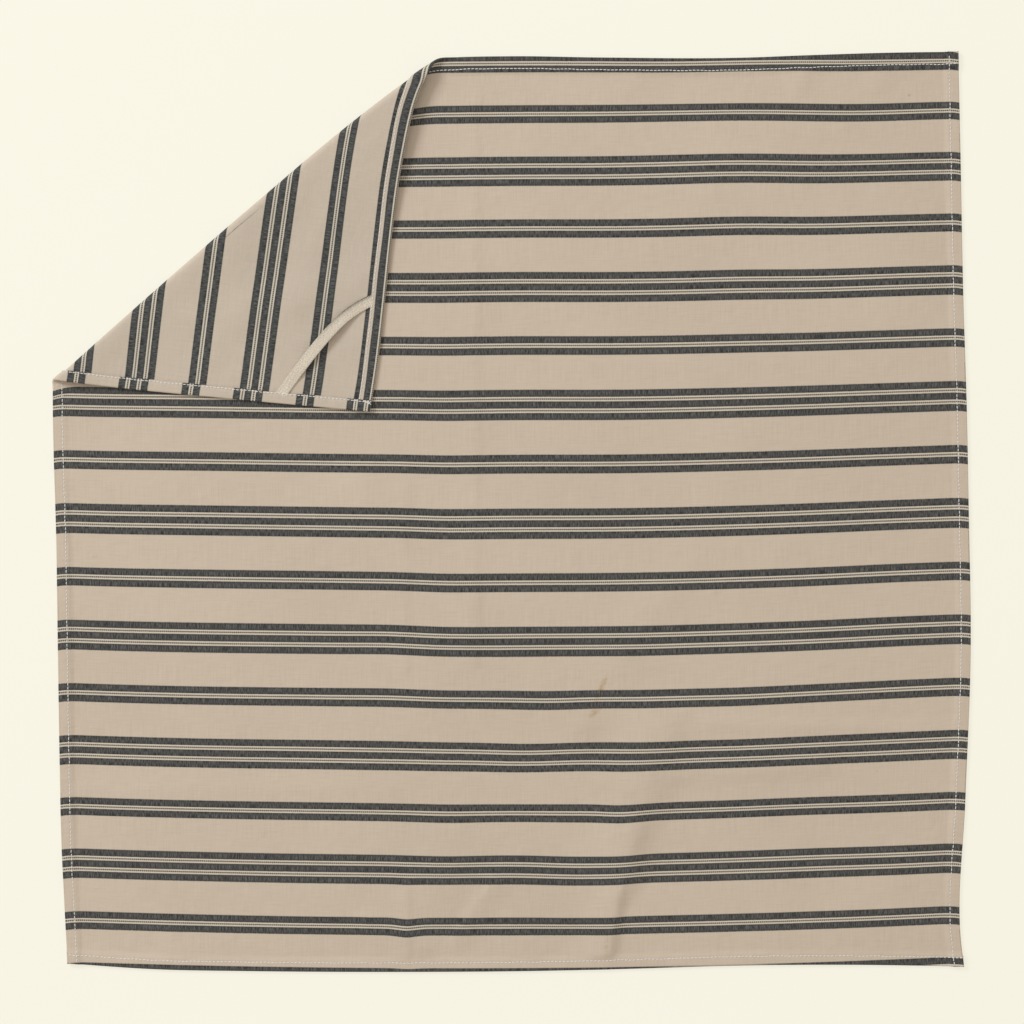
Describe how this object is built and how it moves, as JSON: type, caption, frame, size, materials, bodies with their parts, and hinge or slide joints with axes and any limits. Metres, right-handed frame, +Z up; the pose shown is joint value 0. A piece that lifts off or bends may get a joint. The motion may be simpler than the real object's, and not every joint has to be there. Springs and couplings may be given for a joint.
{
  "type": "striped cotton cloth with hanging loop",
  "caption": "Square striped cotton cloth, hemmed on every side, lying flat with one corner folded over to show its reverse and a tape loop sewn across that corner.",
  "frame": {"origin": "centre of the footprint, on the surface that the cloth lies on", "axes": "+Z up out of the front of the cloth, +Y towards the top hem, across the stripes, +X along the stripes; the folded corner is at -X +Y"},
  "size_m": [0.6613, 0.6621, 0.0117],
  "materials": {
    "woven_cotton": "matte",
    "sewing_thread": "matte",
    "loop_tape": "matte"
  },
  "bodies": {
    "cloth": {"main_panel": "woven_cotton", "hem_bottom": "woven_cotton", "hem_right": "woven_cotton", "hem_top": "woven_cotton", "hem_left": "woven_cotton", "stitching_bottom": "sewing_thread", "stitching_right": "sewing_thread", "stitching_top": "sewing_thread", "stitching_left": "sewing_thread"},
    "flap": {"fold_roll": "woven_cotton", "corner_flap": "woven_cotton", "flap_lower_hem": "woven_cotton", "flap_side_hem": "woven_cotton", "flap_lower_stitching": "sewing_thread", "flap_side_stitching": "sewing_thread"},
    "loop": {"hanging_loop": "loop_tape"}
  },
  "joints": [
    {"name": "corner_fold", "type": "hinge", "parent": "cloth", "child": "flap", "pos_m": [-0.18396, 0.21538, 0.0052], "axis": [-0.7604, -0.6494, 0], "range_deg": [0, 178]},
    {"name": "loop_lift", "type": "hinge", "parent": "flap", "child": "loop", "pos_m": [-0.13226, 0.11389, 0.00461], "axis": [0.6985, 0.7156, 0.0038], "range_deg": [0, 90]}
  ]
}
